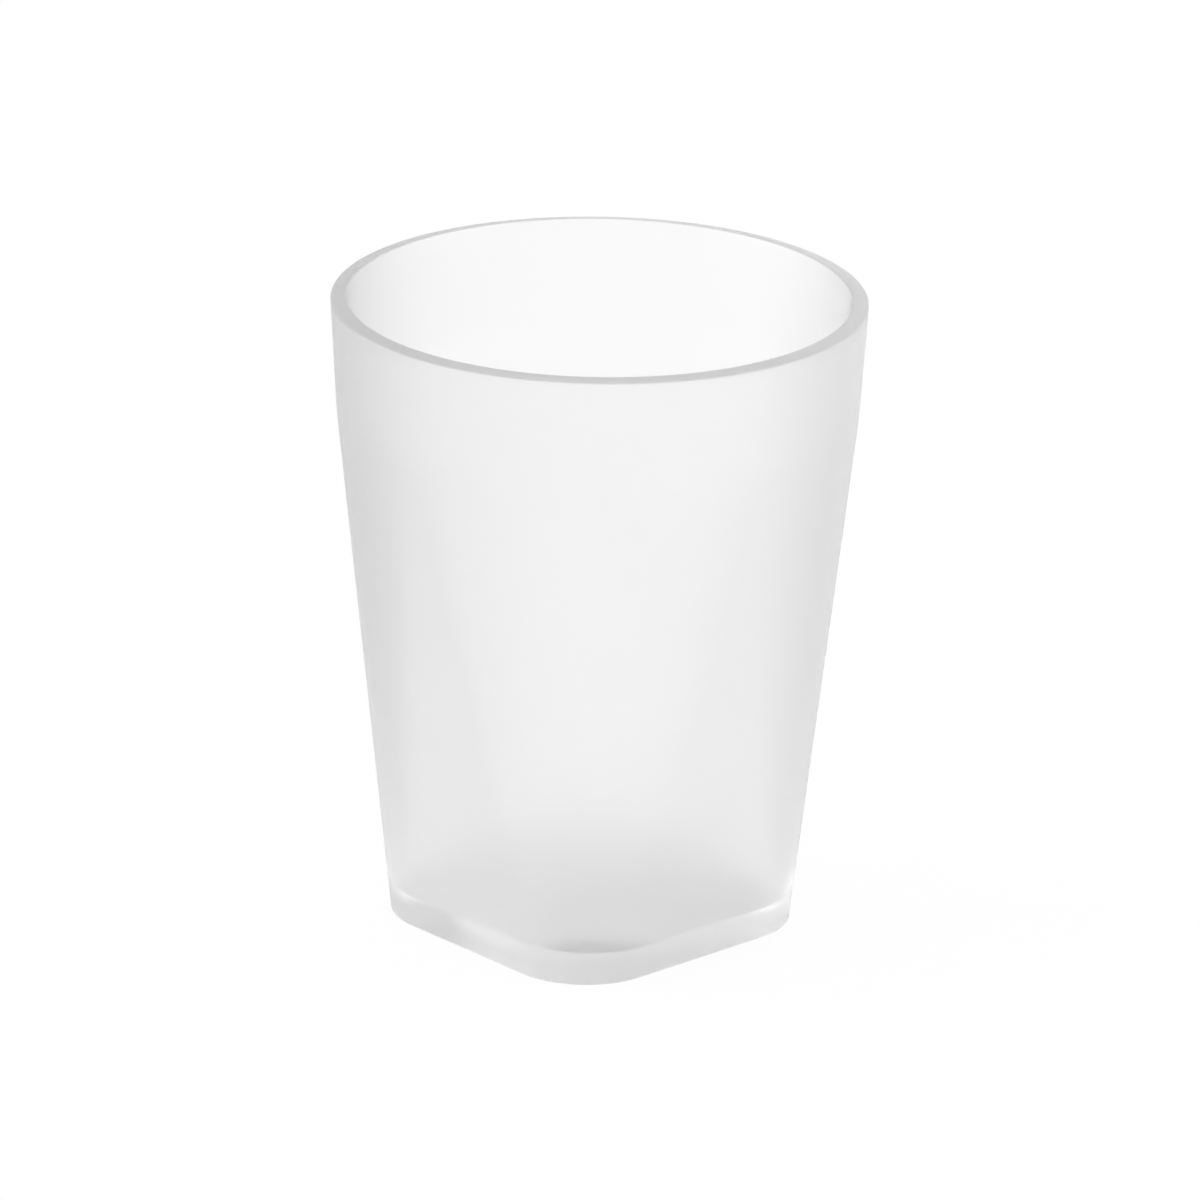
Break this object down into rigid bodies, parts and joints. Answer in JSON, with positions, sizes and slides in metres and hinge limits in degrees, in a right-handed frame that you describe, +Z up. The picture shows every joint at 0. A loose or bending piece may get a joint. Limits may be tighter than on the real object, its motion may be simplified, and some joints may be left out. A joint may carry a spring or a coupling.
{
  "type": "bathroom tumbler",
  "caption": "Tapered tumbler of frosted glass with a round mouth, a smooth lip and a thick rounded-square foot; stands on a vanity or in a ring holder for rinsing or for brushes.",
  "frame": {"origin": "under the middle of the foot, on the surface that the tumbler stands on", "axes": "+Z up along the tumbler's axis, towards its mouth; the flat sides of the foot face +X, -X, +Y and -Y"},
  "size_m": [0.077, 0.077, 0.0945],
  "materials": {
    "frosted_glass": "satin etched inside and out, a little smoother at the lip"
  },
  "bodies": {
    "root": {"tumbler_glass": "frosted_glass"}
  },
  "joints": []
}
